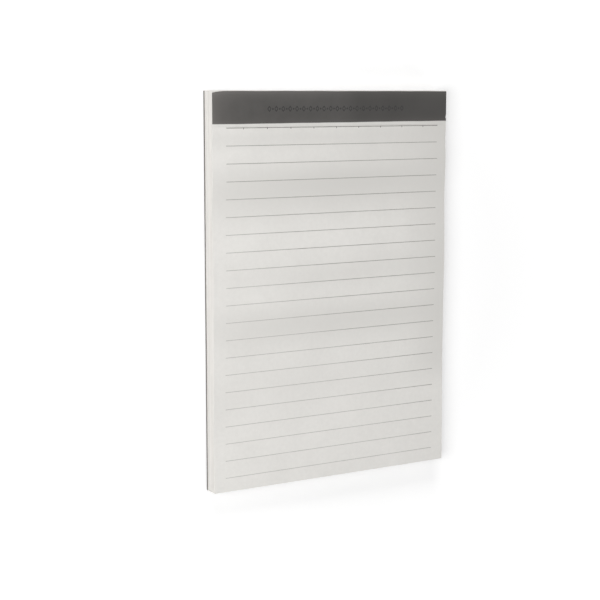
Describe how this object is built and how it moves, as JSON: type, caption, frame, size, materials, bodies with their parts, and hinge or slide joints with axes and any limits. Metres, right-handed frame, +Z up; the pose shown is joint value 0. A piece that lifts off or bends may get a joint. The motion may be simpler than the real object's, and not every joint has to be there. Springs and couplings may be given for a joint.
{
  "type": "legal pad",
  "caption": "Ruled writing pad of sheets glued at the head to a greyboard back, with a dark strip across the head and a tear-off perforation under it.",
  "frame": {"origin": "on the resting surface, under the middle of the pad's outline", "axes": "+Y points to the glued head of the pad, +X to the right-hand edge of the page, +Z up out of the page"},
  "size_m": [0.148, 0.2104, 0.0097],
  "materials": {
    "greyboard": "matte",
    "paper": "matte",
    "padding_glue": "satin",
    "strip_paper": "matte",
    "dark_ink": "matte",
    "grey_ink": "matte"
  },
  "bodies": {
    "root": {"backing_board": "greyboard", "paper_block": "paper", "head_glue": "padding_glue", "header_strip": "strip_paper", "header_rule": "dark_ink", "ruled_lines": "grey_ink"}
  },
  "joints": []
}
